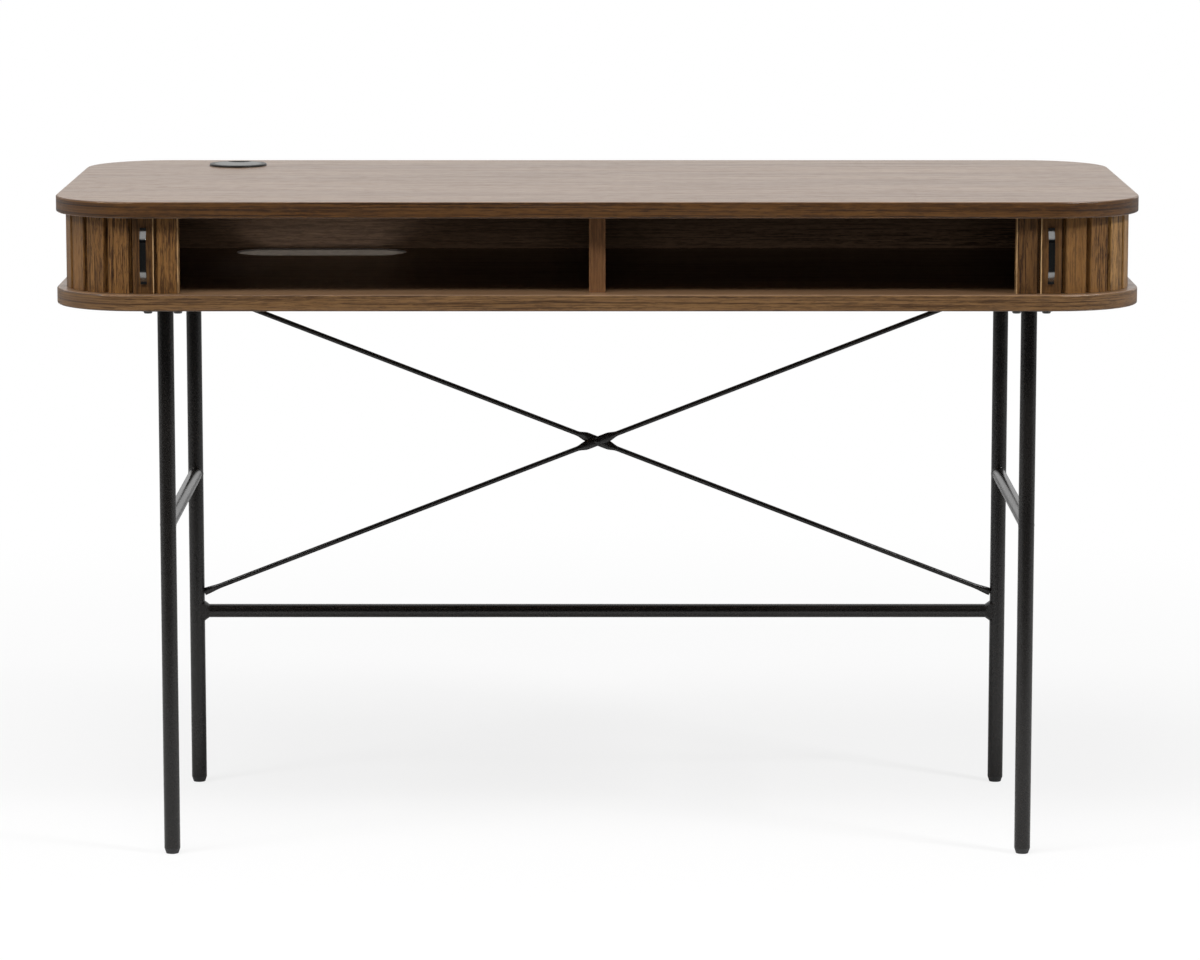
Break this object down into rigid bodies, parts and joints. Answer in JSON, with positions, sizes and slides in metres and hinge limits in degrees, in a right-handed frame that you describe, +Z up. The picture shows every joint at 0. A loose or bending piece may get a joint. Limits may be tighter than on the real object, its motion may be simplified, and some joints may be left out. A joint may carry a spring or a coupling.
{
  "type": "tambour desk",
  "caption": "Walnut tambour desk: two rounded boards with a divided compartment behind sliding slatted doors, on slim round black steel legs with a crossed rear brace.",
  "frame": {"origin": "on the floor under the middle of the desk", "axes": "+X to the user's right along the width, +Y to the back, +Z up"},
  "size_m": [1.2, 0.53, 0.7445],
  "materials": {
    "walnut_board": "satin walnut veneer",
    "walnut_slat": "satin walnut",
    "dowel_wood": "plain beech",
    "black_canvas": "black canvas",
    "satin_metal": "satin grey",
    "black_powder_coat": "black powder coat",
    "plated_steel": "zinc plated",
    "foot_plastic": "black"
  },
  "bodies": {
    "frame": {"back_panel": "walnut_board", "bottom_board": "walnut_board", "brace_rivet": "black_powder_coat", "brace_rod_falling": "black_powder_coat", "brace_rod_rising": "black_powder_coat", "centre_divider": "walnut_board", "foot_plugs": "foot_plastic", "front_left_leg": "black_powder_coat", "front_right_leg": "black_powder_coat", "grommet_ring": "satin_metal", "left_cheek": "walnut_board", "left_side_rail": "black_powder_coat", "leg_plates": "black_powder_coat", "panel_dowels": "dowel_wood", "plate_bolts": "plated_steel", "rear_left_leg": "black_powder_coat", "rear_right_leg": "black_powder_coat", "rear_stretcher": "black_powder_coat", "right_cheek": "walnut_board", "right_side_rail": "black_powder_coat", "stretcher_ferrules": "black_powder_coat", "stretcher_pins": "black_powder_coat", "threaded_inserts": "plated_steel", "top_board": "walnut_board"},
    "left_lead": {"left_lead_slat": "walnut_slat", "left_handle_slat": "walnut_slat", "left_lead_canvas": "black_canvas", "left_handle": "black_powder_coat", "left_handle_screws": "plated_steel"},
    "left_slat_03": {"left_slat_03": "walnut_slat"},
    "left_slat_04": {"left_slat_04": "walnut_slat"},
    "left_slat_05": {"left_slat_05": "walnut_slat"},
    "left_slat_06": {"left_slat_06": "walnut_slat"},
    "left_slat_07": {"left_slat_07": "walnut_slat"},
    "left_tail": {"left_tail_slats": "walnut_slat", "left_tail_canvas": "black_canvas"},
    "right_lead": {"right_lead_slat": "walnut_slat", "right_handle_slat": "walnut_slat", "right_lead_canvas": "black_canvas", "right_handle": "black_powder_coat", "right_handle_screws": "plated_steel"},
    "right_slat_03": {"right_slat_03": "walnut_slat"},
    "right_slat_04": {"right_slat_04": "walnut_slat"},
    "right_slat_05": {"right_slat_05": "walnut_slat"},
    "right_slat_06": {"right_slat_06": "walnut_slat"},
    "right_slat_07": {"right_slat_07": "walnut_slat"},
    "right_tail": {"right_tail_slats": "walnut_slat", "right_tail_canvas": "black_canvas"},
    "lid": {"grommet_lid": "satin_metal"}
  },
  "joints": [
    {"name": "left_door_slide", "type": "slide", "parent": "frame", "child": "left_lead", "axis": [1, 0, 0], "range_m": [0, 0.45611]},
    {"name": "left_turn_03", "type": "hinge", "parent": "left_lead", "child": "left_slat_03", "pos_m": [-0.5094, -0.2445, 0.682], "axis": [0, 0, 1], "range_deg": [-0.2, 14.57]},
    {"name": "left_turn_04", "type": "hinge", "parent": "left_lead", "child": "left_slat_04", "pos_m": [-0.52428, -0.24262, 0.682], "axis": [0, 0, 1], "range_deg": [-0.2, 33.89]},
    {"name": "left_turn_05", "type": "hinge", "parent": "left_lead", "child": "left_slat_05", "pos_m": [-0.53796, -0.23923, 0.682], "axis": [0, 0, 1], "range_deg": [-0.2, 53.65]},
    {"name": "left_turn_06", "type": "hinge", "parent": "left_lead", "child": "left_slat_06", "pos_m": [-0.55127, -0.23423, 0.682], "axis": [0, 0, 1], "range_deg": [-0.2, 73.4]},
    {"name": "left_turn_07", "type": "hinge", "parent": "left_lead", "child": "left_slat_07", "pos_m": [-0.56206, -0.22869, 0.682], "axis": [0, 0, 1], "range_deg": [-0.2, 88.98]},
    {"name": "left_turn_08", "type": "hinge", "parent": "left_lead", "child": "left_tail", "pos_m": [-0.56305, -0.22805, 0.682], "axis": [0, 0, 1], "range_deg": [-0.2, 90.2]},
    {"name": "right_door_slide", "type": "slide", "parent": "frame", "child": "right_lead", "axis": [-1, 0, 0], "range_m": [0, 0.45611]},
    {"name": "right_turn_03", "type": "hinge", "parent": "right_lead", "child": "right_slat_03", "pos_m": [0.5094, -0.2445, 0.682], "axis": [0, 0, -1], "range_deg": [-0.2, 14.57]},
    {"name": "right_turn_04", "type": "hinge", "parent": "right_lead", "child": "right_slat_04", "pos_m": [0.52428, -0.24262, 0.682], "axis": [0, 0, -1], "range_deg": [-0.2, 33.89]},
    {"name": "right_turn_05", "type": "hinge", "parent": "right_lead", "child": "right_slat_05", "pos_m": [0.53796, -0.23923, 0.682], "axis": [0, 0, -1], "range_deg": [-0.2, 53.65]},
    {"name": "right_turn_06", "type": "hinge", "parent": "right_lead", "child": "right_slat_06", "pos_m": [0.55127, -0.23423, 0.682], "axis": [0, 0, -1], "range_deg": [-0.2, 73.4]},
    {"name": "right_turn_07", "type": "hinge", "parent": "right_lead", "child": "right_slat_07", "pos_m": [0.56206, -0.22869, 0.682], "axis": [0, 0, -1], "range_deg": [-0.2, 88.98]},
    {"name": "right_turn_08", "type": "hinge", "parent": "right_lead", "child": "right_tail", "pos_m": [0.56305, -0.22805, 0.682], "axis": [0, 0, -1], "range_deg": [-0.2, 90.2]},
    {"name": "lid_turn", "type": "hinge", "parent": "frame", "child": "lid", "pos_m": [-0.424, 0.192, 0.7435], "axis": [0, 0, 1], "continuous": true}
  ],
  "couplings": [
    {"joint": "left_turn_03", "follows": "left_door_slide", "rad_per_m": 0.55006},
    {"joint": "left_turn_04", "follows": "left_door_slide", "rad_per_m": 1.2893},
    {"joint": "left_turn_05", "follows": "left_door_slide", "rad_per_m": 2.0452},
    {"joint": "left_turn_06", "follows": "left_door_slide", "rad_per_m": 2.801},
    {"joint": "left_turn_07", "follows": "left_door_slide", "rad_per_m": 3.3973},
    {"joint": "left_turn_08", "follows": "left_door_slide", "rad_per_m": 3.4439},
    {"joint": "right_turn_03", "follows": "right_door_slide", "rad_per_m": 0.55006},
    {"joint": "right_turn_04", "follows": "right_door_slide", "rad_per_m": 1.2893},
    {"joint": "right_turn_05", "follows": "right_door_slide", "rad_per_m": 2.0452},
    {"joint": "right_turn_06", "follows": "right_door_slide", "rad_per_m": 2.801},
    {"joint": "right_turn_07", "follows": "right_door_slide", "rad_per_m": 3.3973},
    {"joint": "right_turn_08", "follows": "right_door_slide", "rad_per_m": 3.4439}
  ]
}
